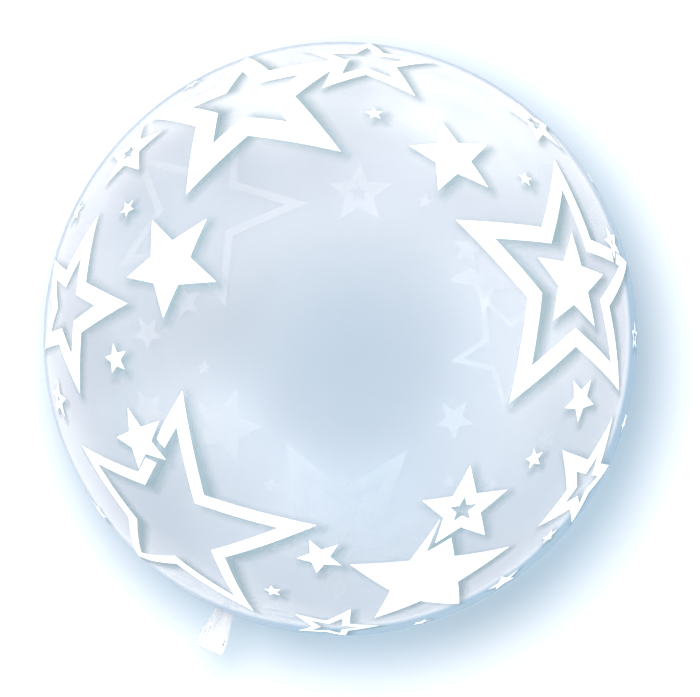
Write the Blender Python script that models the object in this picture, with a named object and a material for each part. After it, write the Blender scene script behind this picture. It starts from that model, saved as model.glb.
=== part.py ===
# Clear bubble balloon: one skin of stretched film, blown up round and sealed flat across its neck.
# Metres, +Z up. It lies on its blank back face, and the origin is the middle of the flat spot there.
# The neck leaves the side of the balloon along -Y and droops a little.

import math

import bmesh
import bpy
from mathutils import Vector

# Driving dimensions, in metres and radians
BALLOON_DIAMETER = 0.610
REST_SPOT_RADIUS = 0.045

NECK_GIRTH = 0.066
NECK_REACH = 0.062
NECK_DROOP = math.radians(16.0)
ROOT_FILLET_RADIUS = 0.014

SEAL_LENGTH = 0.010
SEAL_THICKNESS = 0.0014

PLEAT_COUNT = 18
PLEAT_DEPTH = 0.0014
PLEAT_REACH = 0.090

# How finely the faces follow the round shapes
FACES_PER_PLEAT = 4
SPHERE_STEP = math.radians(5.0)
PLEATED_SPHERE_RINGS = 9
FILLET_RINGS = 5
NECK_RINGS = 8
SHARP_EDGE_ANGLE = math.radians(40.0)

# Film finish: pale blue, see-through and glossy
FILM_COLOUR = (0.83, 0.87, 0.93, 1.0)
FILM_ROUGHNESS = 0.03
FILM_IOR = 1.49

# Sizes that follow from the driving dimensions
BALLOON_RADIUS = BALLOON_DIAMETER / 2
NECK_RADIUS = NECK_GIRTH / math.tau
REST_SPOT_DEPTH = BALLOON_RADIUS - math.sqrt(BALLOON_RADIUS**2 - REST_SPOT_RADIUS**2)
CENTRE_HEIGHT = BALLOON_RADIUS - REST_SPOT_DEPTH
RING_POINTS = PLEAT_COUNT * FACES_PER_PLEAT

# The root fillet is an arc that touches the sphere and the round end of the neck
FILLET_CENTRE_RADIAL = NECK_RADIUS + ROOT_FILLET_RADIUS
FILLET_CENTRE_AXIAL = math.sqrt((BALLOON_RADIUS + ROOT_FILLET_RADIUS) ** 2 - FILLET_CENTRE_RADIAL**2)
FILLET_ANGLE = math.asin(FILLET_CENTRE_RADIAL / (BALLOON_RADIUS + ROOT_FILLET_RADIUS))

# The neck's own line runs from the end of the fillet to the cut end, and its last stretch is the seal
NECK_LENGTH = BALLOON_RADIUS + NECK_REACH - FILLET_CENTRE_AXIAL
FREE_NECK_LENGTH = NECK_LENGTH - SEAL_LENGTH


def smooth_step(share):
    """0 to 1 with level ends, for a share that may lie outside them."""
    share = min(max(share, 0.0), 1.0)
    return share * share * (3 - 2 * share)


def pleat_dip(turn, strength):
    """How far a pleat sinks below the skin at a share of a turn round the neck."""
    return PLEAT_DEPTH * strength * (0.5 - 0.5 * math.cos(math.tau * PLEAT_COUNT * turn))


def turned_ring(radial, axial, normal_radial, normal_axial, strength):
    """A ring of the turned skin about the neck's axis, with its pleats sunk along the normal."""
    ring = []
    for i in range(RING_POINTS):
        turn = i / RING_POINTS
        dip = pleat_dip(turn, strength)
        out = radial - dip * normal_radial
        along = axial - dip * normal_axial
        across = Vector((math.cos(math.tau * turn), 0, math.sin(math.tau * turn)))
        ring.append(across * out + Vector((0, -along, CENTRE_HEIGHT)))
    return ring


def sphere_ring(angle_from_neck):
    """A ring of the sphere. Its pleats are deepest where the film gathers into the neck."""
    radial, axial = math.sin(angle_from_neck), math.cos(angle_from_neck)
    reached = BALLOON_RADIUS * (angle_from_neck - FILLET_ANGLE)
    strength = smooth_step(1 - reached / PLEAT_REACH) ** 2
    return turned_ring(BALLOON_RADIUS * radial, BALLOON_RADIUS * axial, radial, axial, strength)


def fillet_ring(share):
    """A ring of the hollow curve between the sphere, at share 0, and the neck, at share 1."""
    angle = FILLET_ANGLE + share * (math.pi / 2 - FILLET_ANGLE)
    normal_radial, normal_axial = math.sin(angle), math.cos(angle)
    radial = FILLET_CENTRE_RADIAL - ROOT_FILLET_RADIUS * normal_radial
    axial = FILLET_CENTRE_AXIAL - ROOT_FILLET_RADIUS * normal_axial
    return turned_ring(radial, axial, normal_radial, normal_axial, 1.0)


def flattened_point(turn, half_thickness):
    """A point, and the way out there, on a tube of the neck's girth pressed to this half thickness."""
    straight = (NECK_GIRTH - math.tau * half_thickness) / 4
    quarter_bend = math.pi / 2 * half_thickness
    quarter = math.floor(turn * 4) % 4
    walked = (turn * 4 - math.floor(turn * 4)) * NECK_GIRTH / 4
    mirrored = quarter % 2 == 1
    if mirrored:
        walked = NECK_GIRTH / 4 - walked
    bend = min(walked, quarter_bend) / half_thickness
    x = straight + half_thickness * math.cos(bend) - max(walked - quarter_bend, 0)
    z = half_thickness * math.sin(bend)
    side_x = -1 if quarter in (1, 2) else 1
    side_z = -1 if quarter in (2, 3) else 1
    point = Vector((side_x * x, 0, side_z * z))
    way_out = Vector((side_x * math.cos(bend), 0, side_z * math.sin(bend)))
    return point, way_out


def neck_ring(distance):
    """A ring of the neck, this far along it. It bends down up to the seal, and the seal is straight."""
    flatness = smooth_step(distance / FREE_NECK_LENGTH)
    half_thickness = NECK_RADIUS + flatness * (SEAL_THICKNESS / 2 - NECK_RADIUS)
    bent = min(distance, FREE_NECK_LENGTH)
    bend_radius = FREE_NECK_LENGTH / NECK_DROOP
    angle = bent / bend_radius
    straight = distance - bent
    along = bend_radius * math.sin(angle) + straight * math.cos(angle)
    down = bend_radius * (1 - math.cos(angle)) + straight * math.sin(angle)
    centre = Vector((0, -FILLET_CENTRE_AXIAL - along, CENTRE_HEIGHT - down))
    up = Vector((0, -math.sin(angle), math.cos(angle)))
    ring = []
    for i in range(RING_POINTS):
        turn = i / RING_POINTS
        point, way_out = flattened_point(turn, half_thickness)
        point -= way_out * min(pleat_dip(turn, 1 - flatness), half_thickness / 2)
        ring.append(centre + Vector((point.x, 0, 0)) + up * point.z)
    return ring


def skin_rings():
    """Every ring of the skin, from beside the far pole to the cut end of the neck."""
    pleated_angle = PLEAT_REACH / BALLOON_RADIUS + FILLET_ANGLE
    plain_rings = round((math.pi - pleated_angle) / SPHERE_STEP)
    plain_step = (math.pi - pleated_angle) / plain_rings
    pleated_step = (pleated_angle - FILLET_ANGLE) / PLEATED_SPHERE_RINGS
    rings = [sphere_ring(math.pi - plain_step * i) for i in range(1, plain_rings + 1)]
    rings += [sphere_ring(pleated_angle - pleated_step * i) for i in range(1, PLEATED_SPHERE_RINGS + 1)]
    rings += [fillet_ring(i / FILLET_RINGS) for i in range(1, FILLET_RINGS + 1)]
    rings += [neck_ring(FREE_NECK_LENGTH * i / NECK_RINGS) for i in range(1, NECK_RINGS + 1)]
    rings.append(neck_ring(NECK_LENGTH))
    return rings


def skin_surface():
    """The whole skin as one closed mesh, still round below."""
    surface = bmesh.new()
    far_pole = surface.verts.new((0, BALLOON_RADIUS, CENTRE_HEIGHT))
    rings = [[surface.verts.new(point) for point in ring] for ring in skin_rings()]
    for i in range(RING_POINTS):
        after = (i + 1) % RING_POINTS
        surface.faces.new((far_pole, rings[0][i], rings[0][after]))
        for near, far in zip(rings, rings[1:]):
            surface.faces.new((near[i], far[i], far[after], near[after]))
    surface.faces.new(rings[-1])
    bmesh.ops.recalc_face_normals(surface, faces=surface.faces)
    return surface


def press_rest_spot(surface):
    """Cuts the round underside off flat, in a true circle, at the height of what it rests on."""
    everything = surface.verts[:] + surface.edges[:] + surface.faces[:]
    bmesh.ops.bisect_plane(
        surface, geom=everything, plane_co=(0, 0, 0), plane_no=(0, 0, -1), clear_outer=True
    )
    rim = [edge for edge in surface.edges if edge.is_boundary]
    for vert in {vert for edge in rim for vert in edge.verts}:
        vert.co = Vector((vert.co.x, vert.co.y, 0)).normalized() * REST_SPOT_RADIUS
    bmesh.ops.edgeloop_fill(surface, edges=rim)
    bmesh.ops.recalc_face_normals(surface, faces=surface.faces)


def film_material():
    """Clear glossy film with a pale blue cast."""
    material = bpy.data.materials.new("clear_film")
    material.use_nodes = True
    shader = material.node_tree.nodes["Principled BSDF"]
    shader.inputs["Base Color"].default_value = FILM_COLOUR
    shader.inputs["Roughness"].default_value = FILM_ROUGHNESS
    shader.inputs["Metallic"].default_value = 0.0
    shader.inputs["IOR"].default_value = FILM_IOR
    shader.inputs["Transmission Weight"].default_value = 1.0
    return material


def make_balloon():
    """The balloon as one named object, shaded smooth apart from its flat spot and cut end."""
    surface = skin_surface()
    press_rest_spot(surface)
    mesh = bpy.data.meshes.new("balloon")
    surface.to_mesh(mesh)
    surface.free()
    mesh.shade_smooth()
    mesh.set_sharp_from_angle(angle=SHARP_EDGE_ANGLE)
    mesh.materials.append(film_material())
    balloon = bpy.data.objects.new("balloon", mesh)
    bpy.context.scene.collection.objects.link(balloon)
    return balloon


def main():
    for old in list(bpy.data.objects):
        bpy.data.objects.remove(old)
    make_balloon()


main()
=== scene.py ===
import math

import bmesh
import bpy
from mathutils import Matrix, Vector


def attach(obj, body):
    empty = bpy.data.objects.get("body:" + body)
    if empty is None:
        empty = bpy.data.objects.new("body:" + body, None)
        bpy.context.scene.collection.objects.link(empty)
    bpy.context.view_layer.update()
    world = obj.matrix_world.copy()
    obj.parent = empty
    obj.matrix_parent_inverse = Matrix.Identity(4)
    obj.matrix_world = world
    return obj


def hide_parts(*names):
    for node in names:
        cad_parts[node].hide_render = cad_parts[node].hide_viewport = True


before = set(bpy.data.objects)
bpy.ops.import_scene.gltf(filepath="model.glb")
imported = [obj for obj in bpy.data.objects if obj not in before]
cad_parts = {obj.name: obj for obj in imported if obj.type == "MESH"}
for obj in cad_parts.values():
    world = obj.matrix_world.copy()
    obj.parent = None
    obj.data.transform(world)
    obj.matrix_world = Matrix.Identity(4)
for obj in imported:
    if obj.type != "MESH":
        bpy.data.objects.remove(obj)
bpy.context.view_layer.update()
print("frame loaded")

# Everything is in metres unless its name says mm. The balloon lies on its blank back face at z = 0,
# its blank front face looks up, and the neck points along -Y.

balloon = {
    "radius": 0.305,  # 24 inch class, blown up hard
    "centreHeight": 0.30166,  # a little less than the radius, because the underside is pressed flat
    "aroundSteps": 144,
    "poleToPoleSteps": 72,
    "filmThickness": 0.00025,  # real stretched film is nearer 0.1 mm
    "pressSoftness": 0.0005,
}

neck = {
    "cutAngle": math.radians(5.0),  # the cap of the ball that comes off where the neck starts
    "girth": 0.066,
    "rootFillet": 0.014,
    "reach": 0.062,
    "droop": math.radians(16.0),
    "sealLength": 0.010,
    "sealThickness": 0.0014,
    "filletRings": 7,
    "neckRings": 12,
    "sealRings": 4,
}

gathers = {
    "count": 18,
    "depth": 0.0019,
    "reach": 0.105,  # along the film from the neck's root
    "uneven": 0.45,  # share by which their depths and lengths differ
    "crowding": 0.9,  # how far they bunch up on some sides and spread on others
}

creaseAngle = math.radians(50.0)  # edges sharper than this stay crisp, the rest is shaded smooth

# The print is laid out flat, as it goes on the film before that is blown up. Its middle is the ball's
# pole, and distances from there stay true on the ball. A star is its bearing in degrees, its middle's
# distance and its reach to a tip in mm, the turn of a tip in degrees, and its stroke in mm, 0 if solid.
frontPrint = {
    "lift": 0.00012,
    # each face of the ink: its colours where it is thin and full, its glow, which is painted light, and
    # the colour that a lamp's light keeps when it goes through
    "outside": ("whiteScreenInkTwoPasses", "f1f4f6", "fcfdfe", 0.8, "dcdfe2"),
    "inside": ("whiteScreenInkTwoPassesInside", "e9ecef", "f3f4f6", 0.15, "ffffff"),
    "stars": [
        (110.8, 249, 117, 31.3, 21.4),
        (138.2, 297, 41, 18.6, 10.7),
        (148.5, 234, 9, 55.6, 0),
        (154.3, 338, 14, 20.0, 0),
        (172.4, 282, 94, 68.0, 15.8),
        (155.7, 156, 47, 48.5, 0),
        (185.1, 200, 14, 30.9, 0),
        (192.1, 318, 21, 9.4, 5.9),
        (206.7, 198, 30, 39.8, 0),
        (228.8, 232, 134, 7.9, 11.5),
        (264.7, 192, 21, 43.1, 0),
        (255.0, 253, 9, 26.2, 0),
        (268.6, 319, 51, 69.4, 8.0),
        (290.8, 245, 83.5, 16.0, 0),
        (306.3, 182.5, 42, 18.6, 10.6),
        (328.3, 203, 10, 29.7, 0),
        (345.9, 231, 22, 52.9, 0),
        (330.0, 303, 73, 67.4, 15.0),
        (13.7, 227, 133.5, 17.1, 14.4),
        (13.7, 222, 48, 13.9, 0),
        (58.2, 187.5, 40.4, 27.7, 0),
        (81.4, 203, 8, 21.4, 0),
        (40.9, 226, 8, 12.0, 0),
        (84.0, 295, 75, 14.2, 12.0),
        (47.8, 329, 40, 31.4, 9.0),
        (19.6, 320, 21, 40.7, 5.9),
        (32.8, 377, 10, 30.0, 0),
        (120.3, 350, 12, 10.0, 0),
        (215.6, 363, 16, 60.0, 0),
        (316.6, 316, 12, 25.0, 0),
        (304.0, 338, 22, 50.0, 0),
        (285.9, 353, 12, 5.0, 0),
        (343.6, 362, 14, 40.0, 0),
        (0.5, 350, 18, 15.0, 2.6),
    ],
    # a star laid over another keeps a clear gap round it: the upper star's place in the list, the
    # lower star's place, and the gap in mm
    "gaps": [(8, 9, 4.0), (14, 13, 4.5), (25, 18, 1.5)],
}

backPrint = {
    "lift": 0.00012,
    "outside": ("whiteScreenInkOnePass", "eef1f4", "fafbfc", 0.4, "f6f7f8"),
    "inside": ("whiteScreenInkOnePassInside", "f4f3f1", "fbfaf8", 0.1, "ffffff"),
    "stars": [
        (136.1, 285, 158, 70.0, 11.5),
        (82.2, 210, 48, 17.7, 12.5),
        (58.2, 232, 13, 8.5, 0),
        (35.1, 224, 26, 5.2, 0),
        (24.5, 231, 58, 50.0, 0),
        (357.3, 245, 92, 48.8, 7.7),
        (325.0, 198, 31, 55.1, 0),
        (216.8, 205, 57, 71.0, 0),
        (192.0, 198, 11, 15.4, 0),
        (244.6, 233, 14, 6.9, 0),
        (270.3, 271, 148, 50.3, 18.0),
        (270.7, 267, 46, 52.2, 0),
        (307.3, 261, 13, 20.0, 0),
        (178.1, 282, 26, 54.0, 0),
        (200.3, 303, 33, 46.0, 0),
        (166.3, 228, 27, 30.0, 0),
        (334.3, 346, 20, 30.0, 0),
        (316.2, 311, 11, 60.0, 0),
    ],
    "gaps": [(3, 4, 5.0), (15, 0, 5.0)],
}

printing = {
    "corners": 10,  # a star's tips and notches
    "starNotch": 0.44,  # the notches' distance from the middle, as a share of the tips'
    "cell": 0.008,  # the flat print is cut this fine before it is bent round the ball
    "inkThickness": 0.00006,
}

photoTurn = math.radians(23.0)  # from the camera's right-hand side to +X


def deselectAll():
    if bpy.context.mode != "OBJECT":
        bpy.ops.object.mode_set(mode="OBJECT")
    bpy.ops.object.select_all(action="DESELECT")


def startEditing(piece, kind="VERT"):
    deselectAll()
    piece.select_set(True)
    bpy.context.view_layer.objects.active = piece
    bpy.ops.object.mode_set(mode="EDIT")
    bpy.ops.mesh.select_mode(type=kind)
    bpy.ops.mesh.select_all(action="DESELECT")
    return bmesh.from_edit_mesh(piece.data)


def stopEditing():
    bpy.ops.object.mode_set(mode="OBJECT")


def joinPieces(pieces, name):
    deselectAll()
    for piece in pieces:
        piece.select_set(True)
    bpy.context.view_layer.objects.active = pieces[0]
    if len(pieces) > 1:
        bpy.ops.object.join()
    pieces[0].name = name
    pieces[0].data.name = name
    return pieces[0]


def applyPlace(piece):
    deselectAll()
    piece.select_set(True)
    bpy.context.view_layer.objects.active = piece
    bpy.ops.object.transform_apply(location=True, rotation=True, scale=True)


def addWall(piece, thickness, offset):
    deselectAll()
    piece.select_set(True)
    bpy.context.view_layer.objects.active = piece
    wall = piece.modifiers.new("wall", "SOLIDIFY")
    wall.thickness = thickness
    wall.offset = offset
    bpy.ops.object.modifier_apply(modifier="wall")
    bpy.ops.object.shade_smooth_by_angle(angle=creaseAngle)


def smoothStep(share):
    share = min(max(share, 0.0), 1.0)
    return share * share * (3 - 2 * share)


# Colours are given as sRGB hex, and nodes take them linear
def colour(hexText):
    parts = [int(hexText[i : i + 2], 16) / 255 for i in (0, 2, 4)]
    linear = [part / 12.92 if part <= 0.04045 else ((part + 0.055) / 1.055) ** 2.4 for part in parts]
    return linear + [1.0]


def addNode(tree, kind, settings=None, values=None, links=None):
    node = tree.nodes.new(kind)
    for name, value in (settings or {}).items():
        setattr(node, name, value)
    for socket, value in (values or {}).items():
        node.inputs[socket].default_value = value
    for socket, source in (links or {}).items():
        tree.links.new(source, node.inputs[socket])
    return node


def newMaterial(name, values):
    material = bpy.data.materials.new(name)
    material.use_nodes = True
    material.cycles.emission_sampling = "NONE"  # what glows here is too weak to need treating as a lamp
    shader = material.node_tree.nodes["Principled BSDF"]
    for socket, value in values.items():
        shader.inputs[socket].default_value = value
    return material, material.node_tree, shader


def wave(times, turn, start=0.0):
    return math.sin(math.tau * times * turn + start)


# Where the film gathers into the neck, each gather has its own depth and length, because the waves that
# shape them go a different number of times round the neck
def gatherDip(turn, distance):
    phase = math.tau * gathers["count"] * turn + gathers["crowding"] * wave(3, turn, 0.7)
    uneven = 0.5 * wave(5, turn, 1.1) + 0.5 * wave(7, turn, 2.3)
    length = gathers["reach"] * (1 + gathers["uneven"] * uneven)
    strength = smoothStep(1 - distance / length) ** 2
    strength *= 1 + gathers["uneven"] * wave(4, turn)
    return gathers["depth"] * strength * (0.5 - 0.5 * math.cos(phase))


# The neck's rings: a hollow curve off the ball, then a tube that is pressed flat towards its sealed end
neckRadius = neck["girth"] / math.tau
filletRadial = neckRadius + neck["rootFillet"]
filletAxial = math.sqrt((balloon["radius"] + neck["rootFillet"]) ** 2 - filletRadial**2)
filletAngle = math.asin(filletRadial / (balloon["radius"] + neck["rootFillet"]))
neckLength = balloon["radius"] + neck["reach"] - filletAxial
freeNeckLength = neckLength - neck["sealLength"]


def filletPoint(turn, share):
    angle = filletAngle + share * (math.pi / 2 - filletAngle)
    outRadial, outAxial = math.sin(angle), math.cos(angle)
    dip = gatherDip(turn, 0)
    radial = filletRadial - (neck["rootFillet"] + dip) * outRadial
    axial = filletAxial - (neck["rootFillet"] + dip) * outAxial
    across = Vector((math.cos(math.tau * turn), 0, math.sin(math.tau * turn)))
    return across * radial + Vector((0, -axial, balloon["centreHeight"]))


def pressedTube(turn, halfThickness):
    straight = (neck["girth"] - math.tau * halfThickness) / 4
    quarterBend = math.pi / 2 * halfThickness
    quarter = math.floor(turn * 4) % 4
    walked = (turn * 4 - math.floor(turn * 4)) * neck["girth"] / 4
    if quarter % 2 == 1:
        walked = neck["girth"] / 4 - walked
    bend = min(walked, quarterBend) / halfThickness
    x = straight + halfThickness * math.cos(bend) - max(walked - quarterBend, 0)
    z = halfThickness * math.sin(bend)
    sideX = -1 if quarter in (1, 2) else 1
    sideZ = -1 if quarter in (2, 3) else 1
    return Vector((sideX * x, 0, sideZ * z)), Vector((sideX * math.cos(bend), 0, sideZ * math.sin(bend)))


def neckPoint(turn, distance):
    flatness = smoothStep(distance / freeNeckLength)
    halfThickness = neckRadius + flatness * (neck["sealThickness"] / 2 - neckRadius)
    bent = min(distance, freeNeckLength)
    bendRadius = freeNeckLength / neck["droop"]
    angle = bent / bendRadius
    straight = distance - bent
    along = bendRadius * math.sin(angle) + straight * math.cos(angle)
    down = bendRadius * (1 - math.cos(angle)) + straight * math.sin(angle)
    up = Vector((0, -math.sin(angle), math.cos(angle)))
    point, wayOut = pressedTube(turn, halfThickness)
    point -= wayOut * min(gatherDip(turn, 0) * (1 - flatness), halfThickness / 2)
    return Vector((point.x, -filletAxial - along, balloon["centreHeight"] - down)) + up * point.z


def extrudeRing(mesh, place):
    bpy.ops.mesh.extrude_region_move()
    ring = [vert for vert in mesh.verts if vert.select]
    middle = sum(vert.co.z for vert in ring) / len(ring)
    ring.sort(key=lambda vert: math.atan2(vert.co.z - middle, vert.co.x) % math.tau)
    for i, vert in enumerate(ring):
        vert.co = place(i / len(ring))


def makeFilm():
    deselectAll()
    centre = Vector((0, 0, balloon["centreHeight"]))
    bpy.ops.mesh.primitive_uv_sphere_add(
        segments=balloon["aroundSteps"],
        ring_count=balloon["poleToPoleSteps"],
        radius=balloon["radius"],
        location=centre,
        rotation=(math.pi / 2, 0, 0),
    )
    film = bpy.context.object
    film.name = "film"
    applyPlace(film)

    # The cap at -Y comes off, and its rim is extruded ring by ring to the neck's end
    mesh = startEditing(film)
    for vert in mesh.verts:
        fromNeck = (vert.co - centre).angle(Vector((0, -1, 0)))
        vert.select = fromNeck < neck["cutAngle"] - 0.001
    bpy.ops.mesh.delete(type="VERT")
    mesh = bmesh.from_edit_mesh(film.data)
    for edge in mesh.edges:
        edge.select = edge.is_boundary
    mesh.select_flush_mode()
    for i in range(neck["filletRings"] + 1):
        share = i / neck["filletRings"]
        extrudeRing(mesh, lambda turn, share=share: filletPoint(turn, share))
    for i in range(1, neck["neckRings"] + 1):
        distance = freeNeckLength * i / neck["neckRings"]
        extrudeRing(mesh, lambda turn, distance=distance: neckPoint(turn, distance))
    for i in range(1, neck["sealRings"] + 1):
        distance = freeNeckLength + neck["sealLength"] * i / neck["sealRings"]
        extrudeRing(mesh, lambda turn, distance=distance: neckPoint(turn, distance))
    bpy.ops.mesh.edge_face_add()

    # Gathers sink into the ball round the neck, and the underside is pressed flat where it rests
    for vert in mesh.verts:
        way = vert.co - centre
        if abs(way.length - balloon["radius"]) < 0.0001:
            turn = math.atan2(way.z, way.x) / math.tau % 1
            fromRoot = balloon["radius"] * (way.angle(Vector((0, -1, 0))) - filletAngle)
            vert.co -= way.normalized() * gatherDip(turn, fromRoot)
        soft = balloon["pressSoftness"]
        vert.co.z = (vert.co.z + math.sqrt(vert.co.z**2 + soft**2)) / 2
    bpy.ops.mesh.select_all(action="SELECT")
    bpy.ops.mesh.normals_make_consistent(inside=False)
    stopEditing()
    addWall(film, balloon["filmThickness"], -1)
    return film


cornerTurn = 360 / printing["corners"]  # degrees from a star's tip to the next notch
starTip = Vector((1, 0))
notchWay = Vector((math.cos(math.radians(cornerTurn)), math.sin(math.radians(cornerTurn))))
starDip = notchWay * printing["starNotch"]
# How far a star's straight sides lie from its middle, as a share of its reach
starEdgeShare = abs(starTip.x * starDip.y - starTip.y * starDip.x) / (starDip - starTip).length


# A star's corners in mm, with its sides moved out by grow, or in where that is below 0
def starCorners(star, grow=0.0):
    bearing, out, reach, turn, stroke = star
    middle = Vector((math.cos(math.radians(bearing)), math.sin(math.radians(bearing)))) * out
    corners = []
    toEdge = reach * starEdgeShare
    for i in range(printing["corners"]):
        angle = math.radians(turn + cornerTurn * i)
        length = reach if i % 2 == 0 else reach * printing["starNotch"]
        length *= 1 + grow / toEdge
        corners.append(middle + Vector((math.cos(angle), math.sin(angle))) * length)
    return corners


def insideOutline(point, corners):
    inside = False
    for i, here in enumerate(corners):
        before = corners[i - 1]
        if (here.y > point.y) != (before.y > point.y):
            crossing = here.x + (point.y - here.y) * (before.x - here.x) / (before.y - here.y)
            if point.x < crossing:
                inside = not inside
    return inside


def flatStar(star):
    bearing, out, reach, turn, stroke = star
    deselectAll()
    bpy.ops.mesh.primitive_circle_add(
        vertices=printing["corners"], radius=reach / 1000, fill_type="NGON"
    )
    piece = bpy.context.object
    mesh = startEditing(piece)
    for vert in mesh.verts:
        vert.select = vert.index % 2 == 1
    mesh.select_flush_mode()
    bpy.ops.transform.resize(value=(printing["starNotch"],) * 3)
    if stroke:
        bpy.ops.mesh.select_mode(type="FACE")
        bpy.ops.mesh.select_all(action="SELECT")
        bpy.ops.mesh.inset(thickness=stroke / 1000)
        bpy.ops.mesh.delete(type="FACE")
    stopEditing()
    middle = Vector((math.cos(math.radians(bearing)), math.sin(math.radians(bearing)))) * out / 1000
    piece.location = (middle.x, middle.y, 0)
    piece.rotation_euler = (0, 0, math.radians(turn - 90))
    applyPlace(piece)
    return piece


def clearGap(lower, upperStar, gap):
    corners = [corner / 1000 for corner in starCorners(upperStar, gap)]
    startEditing(lower, "FACE")
    for i, here in enumerate(corners):
        side = here - corners[i - 1]
        bpy.ops.mesh.select_all(action="SELECT")
        bpy.ops.mesh.bisect(plane_co=(here.x, here.y, 0), plane_no=(-side.y, side.x, 0))
    mesh = bmesh.from_edit_mesh(lower.data)
    bpy.ops.mesh.select_all(action="DESELECT")
    for face in mesh.faces:
        face.select = insideOutline(face.calc_center_median(), corners)
    bpy.ops.mesh.delete(type="FACE")
    stopEditing()


def cutFine(piece, cell):
    startEditing(piece, "FACE")
    reach = max(max(abs(corner[0]), abs(corner[1])) for corner in piece.bound_box)
    lines = range(-math.ceil(reach / cell), math.ceil(reach / cell) + 1)
    for line in lines:
        bpy.ops.mesh.select_all(action="SELECT")
        bpy.ops.mesh.bisect(plane_co=(line * cell, 0, 0), plane_no=(1, 0, 0))
        bpy.ops.mesh.select_all(action="SELECT")
        bpy.ops.mesh.bisect(plane_co=(0, line * cell, 0), plane_no=(0, 1, 0))
    stopEditing()


def layOnBall(piece, lift, front):
    for vert in piece.data.vertices:
        out = math.hypot(vert.co.x, vert.co.y)
        bearing = math.atan2(vert.co.y, vert.co.x) + photoTurn
        angle = out / balloon["radius"]
        radius = balloon["radius"] + lift
        height = radius * math.cos(angle) * (1 if front else -1)
        across = radius * math.sin(angle)
        x, y = across * math.cos(bearing), across * math.sin(bearing)
        vert.co = (x, y, balloon["centreHeight"] + height)
    if not front:
        piece.data.flip_normals()


def makePrint(name, layout, front):
    pieces = [flatStar(star) for star in layout["stars"]]
    for upper, lower, gap in layout["gaps"]:
        clearGap(pieces[lower], layout["stars"][upper], gap)
    ink = joinPieces(pieces, name)
    cutFine(ink, printing["cell"])
    layOnBall(ink, layout["lift"], front)
    addWall(ink, printing["inkThickness"], 1)
    return ink


# Each white star lies on a painted soft teal shadow, a drop shadow that shows beside it, down and to the
# right as the camera looks
paintedStarShadow = {
    "shift": Vector((4.2, -4.2)),  # mm
    "blur": 9.5,  # mm to each side of the shifted star's edge
    "cell": 3.0,  # mm
    "lift": 0.00006,
    "strength": 0.66,
    "colour": "86a8aa",
}


def edgeDistance(point, corners):
    nearest = 1e9
    for i, here in enumerate(corners):
        before = corners[i - 1]
        side = here - before
        share = min(max((point - before).dot(side) / side.length_squared, 0), 1)
        nearest = min(nearest, (before + side * share - point).length)
    return -nearest if insideOutline(point, corners) else nearest


# How deep the painted star shadow is at each point of a fine grid round the front stars
def shadeDepths():
    depths = {}
    cell, blur = paintedStarShadow["cell"], paintedStarShadow["blur"]
    for star in frontPrint["stars"]:
        outline = [corner + paintedStarShadow["shift"] for corner in starCorners(star)]
        stroke = star[4]
        hole = [corner + paintedStarShadow["shift"] for corner in starCorners(star, -stroke)]
        low = [math.floor((min(corner[axis] for corner in outline) - blur) / cell) for axis in (0, 1)]
        high = [math.ceil((max(corner[axis] for corner in outline) + blur) / cell) for axis in (0, 1)]
        for column in range(low[0], high[0] + 1):
            for row in range(low[1], high[1] + 1):
                point = Vector((column * cell, row * cell))
                distance = edgeDistance(point, outline)
                if stroke and distance < 0:
                    distance = max(distance, -edgeDistance(point, hole))
                depth = smoothStep((blur - distance) / (2 * blur))
                if depth > depths.get((column, row), 0):
                    depths[column, row] = depth
    return depths


def makePaintedStarShadow():
    depths = shadeDepths()
    cell = paintedStarShadow["cell"]
    steps = max(max(abs(column), abs(row)) for column, row in depths) + 1
    deselectAll()
    bpy.ops.mesh.primitive_grid_add(
        x_subdivisions=2 * steps, y_subdivisions=2 * steps, size=2 * steps * cell / 1000
    )
    shade = bpy.context.object
    shade.name = "paintedStarShadow"
    shade.data.name = "paintedStarShadow"
    places = [(round(v.co.x * 1000 / cell), round(v.co.y * 1000 / cell)) for v in shade.data.vertices]
    attribute = shade.data.attributes.new("shadeDepth", "FLOAT", "POINT")
    attribute.data.foreach_set("value", [depths.get(place, 0.0) for place in places])
    mesh = startEditing(shade)
    mesh.faces.ensure_lookup_table()
    bpy.ops.mesh.select_mode(type="FACE")
    for face in mesh.faces:
        face.select = all(places[vert.index] not in depths for vert in face.verts)
    bpy.ops.mesh.delete(type="FACE")
    stopEditing()
    layOnBall(shade, paintedStarShadow["lift"], True)
    deselectAll()
    shade.select_set(True)
    bpy.context.view_layer.objects.active = shade
    bpy.ops.object.shade_smooth()
    return shade
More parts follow.
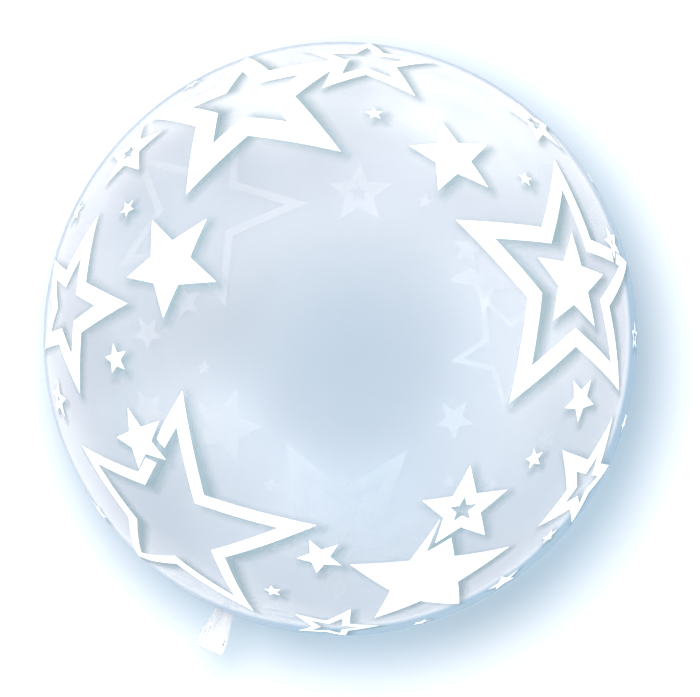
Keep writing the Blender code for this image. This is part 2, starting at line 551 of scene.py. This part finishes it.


# Stretched clear film: glossy on both faces, with a faint blue tint and painted shade, a deeper blue
# round the two blank poles, and a faint milky veil in soft clouds that thickens as it is seen slantwise,
# whose glow is painted light
filmLook = {
    # film of this kind has an IOR near 1.5, lowered here because two drawn walls bend light too much
    "shader": {"Roughness": 0.02, "IOR": 1.33, "Transmission Weight": 0.96},
    # the painted shade's deeper blue at the poles, and the film's own tint elsewhere
    "poleShadeColour": "e2e6eb",
    "ringColour": "f9f4f5",
    "paintedShadeReach": 0.262,  # m from the line through the poles, where the painted shade has gone
    "paintedShadeAside": (0.033, -0.027),  # m, how far its middle lies off that line
    "paintedShadeTail": (-78, 690, 190, 0.55),  # it runs on along the back, given as a patch is given below
    "cloudScale": 9.0,  # clouds about 110 mm across
    "cloudDepth": (0.6, 1.5),  # the veil between clouds and in their middles
    "veilColour": "f8f4f2",
    # the veil glows, which is painted light
    "veilPaintedGlow": 0.55,
    "veilInFront": 0.004,  # share of the light that each face of the film scatters, seen straight on
    "veilAslant": 0.14,
    "veilSlants": (0.06, 0.46),  # how slantwise it is seen where that begins and where it is reached
    "veilSide": math.radians(100.0) + photoTurn,  # the side where it is thickest, painting a highlight there over the haze
    "veilSides": (0.15, 1.4),  # how thick it is on the far side from there, and there
    "veilReach": 0.28,  # m from the middle to either of them
    "lineStarts": (0.82, 0.91),  # how edge-on the film is where the line starts and where it is full
    # the line round the edge is painted: a broad blue-grey painted shade on the shaded side and a thin
    # grey painted reflection on the lit side
    "lineColours": ("9cb2c1", "aab4c0"),
    "lineShares": (0.82, 0.48),
    "lineWider": 0.1,  # how much sooner it starts on the shaded side
    "lineSide": math.radians(135.0) + photoTurn,  # the lit side
    "lineTurns": (-0.02, 0.20),  # m past the middle, where the lit side's line ends and the other is full
    "grazedColour": "1d94ab",  # what is left of a lamp's light where it only grazes the film
    "grazedPower": 1.5,
    "lampColour": "fdfefe",
    # milkier patches, partly haze and partly painted reflection: bearing in degrees, mm out from the
    # front pole, reach in mm, added share
    "patches": [
        (62, 292, 150, 0.28),
        (112, 235, 80, 0.16),
        (0, 215, 130, 0.09),
        (-158, 280, 70, 0.10),
        (-113, 485, 115, 0.26),  # the neck, where the film is hardly stretched
    ],
}


def pointOnBall(bearing, out):
    fromPole = out / 1000 / balloon["radius"]
    turn = math.radians(bearing) + photoTurn
    across = math.sin(fromPole)
    way = Vector((across * math.cos(turn), across * math.sin(turn), math.cos(fromPole)))
    return way * balloon["radius"] + Vector((0, 0, balloon["centreHeight"]))


# How much of a round patch there is at a place: all of its share in its middle, none at its reach
def patchShare(tree, place, patch):
    bearing, out, reach, share = patch
    away = addNode(
        tree,
        "ShaderNodeVectorMath",
        {"operation": "DISTANCE"},
        {1: pointOnBall(bearing, out)},
        {0: place},
    )
    fading = addNode(
        tree,
        "ShaderNodeMapRange",
        {"interpolation_type": "SMOOTHERSTEP"},
        {"From Min": reach / 1000, "From Max": 0.0, "To Max": share},
        {"Value": away.outputs["Value"]},
    )
    return fading.outputs["Result"]


def filmMaterial():
    look = filmLook
    material, tree, shader = newMaterial("stretchedClearFilm", look["shader"])
    place = addNode(tree, "ShaderNodeTexCoord").outputs["Object"]
    # Painted shade: the film is a deeper blue near the poles, off to one side and running on along the
    # back
    paintedShadeX, paintedShadeY = look["paintedShadeAside"]
    fromAxis = addNode(
        tree,
        "ShaderNodeMapping",
        values={"Location": (-paintedShadeX, -paintedShadeY, 0), "Scale": (1, 1, 0)},
        links={"Vector": place},
    )
    distance = addNode(
        tree, "ShaderNodeVectorMath", {"operation": "LENGTH"}, links={0: fromAxis.outputs["Vector"]}
    )
    ringShare = addNode(
        tree,
        "ShaderNodeMapRange",
        {"interpolation_type": "SMOOTHERSTEP"},
        {"From Min": 0.0, "From Max": look["paintedShadeReach"]},
        {"Value": distance.outputs["Value"]},
    )
    tailShare = patchShare(tree, place, look["paintedShadeTail"])
    paintedShadeGone = addNode(
        tree,
        "ShaderNodeMath",
        {"operation": "SUBTRACT", "use_clamp": True},
        links={0: ringShare.outputs["Result"], 1: tailShare},
    )
    paintedShade = addNode(
        tree,
        "ShaderNodeMix",
        {"data_type": "RGBA"},
        {6: colour(look["poleShadeColour"]), 7: colour(look["ringColour"])},
        {0: paintedShadeGone.outputs["Value"]},
    )
    tree.links.new(paintedShade.outputs[2], shader.inputs["Base Color"])

    # The veil: clouds, a thicker side, more of it at a slant, and the blue-grey line round the edge,
    # which is painted shade and painted reflection
    clouds = addNode(
        tree,
        "ShaderNodeTexNoise",
        values={"Scale": look["cloudScale"], "Detail": 2.0, "Roughness": 0.45},
        links={"Vector": place},
    )
    thinCloud, thickCloud = look["cloudDepth"]
    cloudShare = addNode(
        tree,
        "ShaderNodeMapRange",
        values={"From Min": 0.35, "From Max": 0.70, "To Min": thinCloud, "To Max": thickCloud},
        links={"Value": clouds.outputs["Fac"]},
    )
    toSide = addNode(
        tree,
        "ShaderNodeVectorMath",
        {"operation": "DOT_PRODUCT"},
        {1: (math.cos(look["veilSide"]), math.sin(look["veilSide"]), 0)},
        {0: place},
    )
    thinSide, thickSide = look["veilSides"]
    sideShare = addNode(
        tree,
        "ShaderNodeMapRange",
        values={
            "From Min": -look["veilReach"],
            "From Max": look["veilReach"],
            "To Min": thinSide,
            "To Max": thickSide,
        },
        links={"Value": toSide.outputs["Value"]},
    )
    slant = addNode(tree, "ShaderNodeLayerWeight", values={"Blend": 0.5})
    slantStart, slantFull = look["veilSlants"]
    slantShare = addNode(
        tree,
        "ShaderNodeMapRange",
        {"interpolation_type": "SMOOTHSTEP"},
        {
            "From Min": slantStart,
            "From Max": slantFull,
            "To Min": look["veilInFront"],
            "To Max": look["veilAslant"],
        },
        {"Value": slant.outputs["Facing"]},
    )
    clouded = addNode(
        tree,
        "ShaderNodeMath",
        {"operation": "MULTIPLY"},
        links={0: cloudShare.outputs["Result"], 1: sideShare.outputs["Result"]},
    )
    pastMiddle = addNode(
        tree,
        "ShaderNodeVectorMath",
        {"operation": "DOT_PRODUCT"},
        {1: (-math.cos(look["lineSide"]), -math.sin(look["lineSide"]), 0)},
        {0: place},
    )
    litEnd, shadedStart = look["lineTurns"]
    shadedSide = addNode(
        tree,
        "ShaderNodeMapRange",
        {"interpolation_type": "SMOOTHSTEP"},
        {"From Min": litEnd, "From Max": shadedStart},
        {"Value": pastMiddle.outputs["Value"]},
    )
    nearEdge = addNode(
        tree,
        "ShaderNodeMath",
        {"operation": "MULTIPLY_ADD"},
        {1: look["lineWider"]},
        {0: shadedSide.outputs["Result"], 2: slant.outputs["Facing"]},
    )
    lineStart, lineFull = look["lineStarts"]
    lineShare = addNode(
        tree,
        "ShaderNodeMapRange",
        {"interpolation_type": "SMOOTHSTEP"},
        {"From Min": lineStart, "From Max": lineFull},
        {"Value": nearEdge.outputs["Value"]},
    )
    shadedShare, litShare = look["lineShares"]
    lineStrength = addNode(
        tree,
        "ShaderNodeMapRange",
        values={"To Min": litShare, "To Max": shadedShare},
        links={"Value": shadedSide.outputs["Result"]},
    )
    lined = addNode(
        tree,
        "ShaderNodeMath",
        {"operation": "MULTIPLY"},
        links={0: lineShare.outputs["Result"], 1: lineStrength.outputs["Result"]},
    )
    veilShare = addNode(
        tree,
        "ShaderNodeMath",
        {"operation": "MULTIPLY_ADD", "use_clamp": True},
        links={0: clouded.outputs["Value"], 1: slantShare.outputs["Result"], 2: lined.outputs["Value"]},
    )
    for patch in look["patches"]:
        share = patchShare(tree, place, patch)
        veilShare = addNode(
            tree,
            "ShaderNodeMath",
            {"operation": "MULTIPLY_ADD", "use_clamp": True},
            links={0: share, 1: cloudShare.outputs["Result"], 2: veilShare.outputs["Value"]},
        )
    shadedColour, litColour = look["lineColours"]
    lineColour = addNode(
        tree,
        "ShaderNodeMix",
        {"data_type": "RGBA"},
        {6: colour(litColour), 7: colour(shadedColour)},
        {0: shadedSide.outputs["Result"]},
    )
    veilColour = addNode(
        tree,
        "ShaderNodeMix",
        {"data_type": "RGBA"},
        {6: colour(look["veilColour"])},
        {0: lineShare.outputs["Result"], 7: lineColour.outputs[2]},
    )
    # The veil glows, and the edge line in it glows too: painted light
    veil = addNode(
        tree,
        "ShaderNodeBsdfPrincipled",
        values={"Roughness": 0.6, "Specular IOR Level": 0.0, "Emission Strength": look["veilPaintedGlow"]},
        links={"Base Color": veilColour.outputs[2], "Emission Color": veilColour.outputs[2]},
    )
    seen = addNode(
        tree,
        "ShaderNodeMixShader",
        links={0: veilShare.outputs["Value"], 1: shader.outputs["BSDF"], 2: veil.outputs["BSDF"]},
    )

    # Lamps and soft light pass the thin film straight, and it takes more of them where they graze it
    grazed = addNode(
        tree,
        "ShaderNodeMath",
        {"operation": "POWER"},
        {1: look["grazedPower"]},
        {0: slant.outputs["Facing"]},
    )
    passed = addNode(
        tree,
        "ShaderNodeMix",
        {"data_type": "RGBA"},
        {6: colour(look["lampColour"]), 7: colour(look["grazedColour"])},
        {0: grazed.outputs["Value"]},
    )
    straight = addNode(tree, "ShaderNodeBsdfTransparent", links={"Color": passed.outputs[2]})
    ray = addNode(tree, "ShaderNodeLightPath")
    softLight = addNode(
        tree,
        "ShaderNodeMixShader",
        links={0: ray.outputs["Is Diffuse Ray"], 1: seen.outputs["Shader"], 2: straight.outputs["BSDF"]},
    )
    lampLight = addNode(
        tree,
        "ShaderNodeMixShader",
        links={
            0: ray.outputs["Is Shadow Ray"],
            1: softLight.outputs["Shader"],
            2: straight.outputs["BSDF"],
        },
    )
    tree.links.new(lampLight.outputs["Shader"], tree.nodes["Material Output"].inputs["Surface"])
    return material


# White screen ink on stretched film: satin, a little cloudy where the squeegee laid less of it down,
# with the finest orange peel
inkLook = {
    "cloudScale": 70.0,  # patches about 14 mm across
    "roughness": (0.38, 0.52),
    "peelScale": 700.0,  # grains about 1.4 mm, coarser than real ones
    "peelStrength": 0.25,
    "peelHeight": 0.00005,
    "through": 0.4,  # share of the light from behind that shines through it
    "throughColour": "fafbfc",
}


def inkMaterial(name, thinColour, fullColour, paintedGlow, lampColour):
    # The ink glows a little: painted light, so that the stars stay white on their unlit side
    material, tree, shader = newMaterial(
        name, {"IOR": 1.5, "Emission Color": colour("ffffff"), "Emission Strength": paintedGlow}
    )
    place = addNode(tree, "ShaderNodeTexCoord").outputs["Object"]
    laidDown = addNode(
        tree,
        "ShaderNodeTexNoise",
        values={"Scale": inkLook["cloudScale"], "Detail": 2.0, "Roughness": 0.6},
        links={"Vector": place},
    )
    whiteness = addNode(
        tree,
        "ShaderNodeMix",
        {"data_type": "RGBA"},
        {6: colour(thinColour), 7: colour(fullColour)},
        {0: laidDown.outputs["Fac"]},
    )
    tree.links.new(whiteness.outputs[2], shader.inputs["Base Color"])
    smoothest, roughest = inkLook["roughness"]
    satin = addNode(
        tree,
        "ShaderNodeMapRange",
        values={"From Min": 0.3, "From Max": 0.7, "To Min": smoothest, "To Max": roughest},
        links={"Value": laidDown.outputs["Fac"]},
    )
    tree.links.new(satin.outputs["Result"], shader.inputs["Roughness"])
    grains = addNode(
        tree,
        "ShaderNodeTexNoise",
        values={"Scale": inkLook["peelScale"], "Detail": 1.0},
        links={"Vector": place},
    )
    peel = addNode(
        tree,
        "ShaderNodeBump",
        values={"Strength": inkLook["peelStrength"], "Distance": inkLook["peelHeight"]},
        links={"Height": grains.outputs["Fac"]},
    )
    tree.links.new(peel.outputs["Normal"], shader.inputs["Normal"])

    # Light from behind shines through it, and most of a lamp's light goes on to what lies behind
    through = addNode(
        tree, "ShaderNodeBsdfTranslucent", values={"Color": colour(inkLook["throughColour"])}
    )
    lit = addNode(
        tree,
        "ShaderNodeMixShader",
        values={0: inkLook["through"]},
        links={1: shader.outputs["BSDF"], 2: through.outputs["BSDF"]},
    )
    onward = addNode(tree, "ShaderNodeBsdfTransparent", values={"Color": colour(lampColour)})
    ray = addNode(tree, "ShaderNodeLightPath")
    both = addNode(
        tree,
        "ShaderNodeMixShader",
        links={0: ray.outputs["Is Shadow Ray"], 1: lit.outputs["Shader"], 2: onward.outputs["BSDF"]},
    )
    tree.links.new(both.outputs["Shader"], tree.nodes["Material Output"].inputs["Surface"])
    return material


# The face of the ink that lies against the film is the one that shows through the balloon
def inkBothFaces(ink, layout):
    for face in ("outside", "inside"):
        ink.data.materials.append(inkMaterial(*layout[face]))
    centre = Vector((0, 0, balloon["centreHeight"]))
    for face in ink.data.polygons:
        if face.normal.dot((face.center - centre).normalized()) < -0.5:
            face.material_index = 1


# A painted drop shadow, laid on like thin teal ink: satin, and thinner towards its edge, so that it reads
# as a soft shadow
def shadeMaterial():
    material, tree, shader = newMaterial(
        "softTealShade", {"Base Color": colour(paintedStarShadow["colour"]), "Roughness": 0.5, "IOR": 1.5}
    )
    depth = addNode(tree, "ShaderNodeAttribute", {"attribute_name": "shadeDepth"})
    strength = addNode(
        tree,
        "ShaderNodeMath",
        {"operation": "MULTIPLY"},
        {1: paintedStarShadow["strength"]},
        {0: depth.outputs["Fac"]},
    )
    tree.links.new(strength.outputs["Value"], shader.inputs["Alpha"])
    return material


film = makeFilm()
film.data.materials.clear()
film.data.materials.append(filmMaterial())
print("film and neck done:", len(film.data.polygons), "faces")

frontInk = makePrint("frontStars", frontPrint, True)
inkBothFaces(frontInk, frontPrint)
print("front stars done:", len(frontInk.data.polygons), "faces")

backInk = makePrint("backStars", backPrint, False)
inkBothFaces(backInk, backPrint)
print("back stars done:", len(backInk.data.polygons), "faces")

shade = makePaintedStarShadow()
shade.data.materials.append(shadeMaterial())
print("print shade done:", len(shade.data.polygons), "faces")

for piece, slot in (
    (film, "clear_film"),
    (frontInk, "white_ink"),
    (backInk, "white_ink"),
    (shade, "white_ink"),
):
    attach(piece, "root")
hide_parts("balloon")

# A pale floor, a soft lamp a little to the photo's upper left of the camera, and a pale room
studio = {
    "floorSize": 40.0,
    "floorDrop": 0.0002,  # keeps it clear of the balloon's flat spot
    "floorColour": "f4f5f6",
    "keyAside": 0.089,  # m from the balloon's middle line
    "keyBearing": math.radians(129.5) + photoTurn,
    "keyHeight": 1.234,
    "keyRadius": 0.103,
    "keyPower": 33.4,
    "roomStrength": 0.72,
    "roomSeen": 0.26,  # how much lighter it looks behind the balloon than the light it gives
    "roomTop": "d2e2f3",
    "roomSide": "dde9f4",
}

deselectAll()
bpy.ops.mesh.primitive_plane_add(size=studio["floorSize"], location=(0, 0, -studio["floorDrop"]))
floor = bpy.context.object
floor.name = "floor"
# Matt paper: it takes the balloon's soft shadow and gives back no gleam
floorMaterial = newMaterial(
    "whitePaperFloor",
    {"Base Color": colour(studio["floorColour"]), "Roughness": 0.9, "Specular IOR Level": 0.1},
)[0]
floor.data.materials.append(floorMaterial)

keyWay = Vector((math.cos(studio["keyBearing"]), math.sin(studio["keyBearing"]), 0))
keyPlace = keyWay * studio["keyAside"]
keyPlace.z = studio["keyHeight"]
bpy.ops.object.light_add(type="POINT", location=keyPlace)
key = bpy.context.object
key.name = "key"
key.data.shadow_soft_size = studio["keyRadius"]
key.data.energy = studio["keyPower"]
key.data.use_nodes = True
lampTree = key.data.node_tree
# As strong far away as near
evenly = addNode(lampTree, "ShaderNodeLightFalloff", values={"Strength": 1.0})
lampTree.links.new(evenly.outputs["Constant"], lampTree.nodes["Emission"].inputs["Strength"])
key.visible_camera = False
key.visible_glossy = False
key.visible_transmission = False

room = bpy.data.worlds.new("room")
room.use_nodes = True
bpy.context.scene.world = room
roomTree = room.node_tree
background = roomTree.nodes["Background"]
way = addNode(roomTree, "ShaderNodeTexCoord").outputs["Generated"]
parts = addNode(roomTree, "ShaderNodeSeparateXYZ", links={"Vector": way})
roomColour = addNode(
    roomTree,
    "ShaderNodeMix",
    {"data_type": "RGBA"},
    {6: colour(studio["roomSide"]), 7: colour(studio["roomTop"])},
    {0: parts.outputs["Z"]},
)
roomTree.links.new(roomColour.outputs[2], background.inputs["Color"])
ray = addNode(roomTree, "ShaderNodeLightPath")
seen = addNode(
    roomTree,
    "ShaderNodeMath",
    {"operation": "MAXIMUM"},
    links={0: ray.outputs["Is Camera Ray"], 1: ray.outputs["Is Transmission Ray"]},
)
strength = addNode(
    roomTree,
    "ShaderNodeMath",
    {"operation": "MULTIPLY_ADD"},
    {1: studio["roomSeen"], 2: studio["roomStrength"]},
    {0: seen.outputs["Value"]},
)
roomTree.links.new(strength.outputs["Value"], background.inputs["Strength"])

camera = {
    "lens": 50.0,
    "sensor": 36.0,
    "height": 1.04395,  # above the ball's middle, so that the ball fills the photo's circle
    "shift": (9.5 / 700, -9.8 / 700),
}
bpy.ops.object.camera_add(
    location=(0, 0, balloon["centreHeight"] + camera["height"]), rotation=(0, 0, photoTurn)
)
view = bpy.context.object
view.name = "camera"
view.data.lens = camera["lens"]
view.data.sensor_width = camera["sensor"]
view.data.shift_x, view.data.shift_y = camera["shift"]
bpy.context.scene.camera = view
bpy.context.scene.view_settings.view_transform = "Standard"

print("room, lamp and camera done")
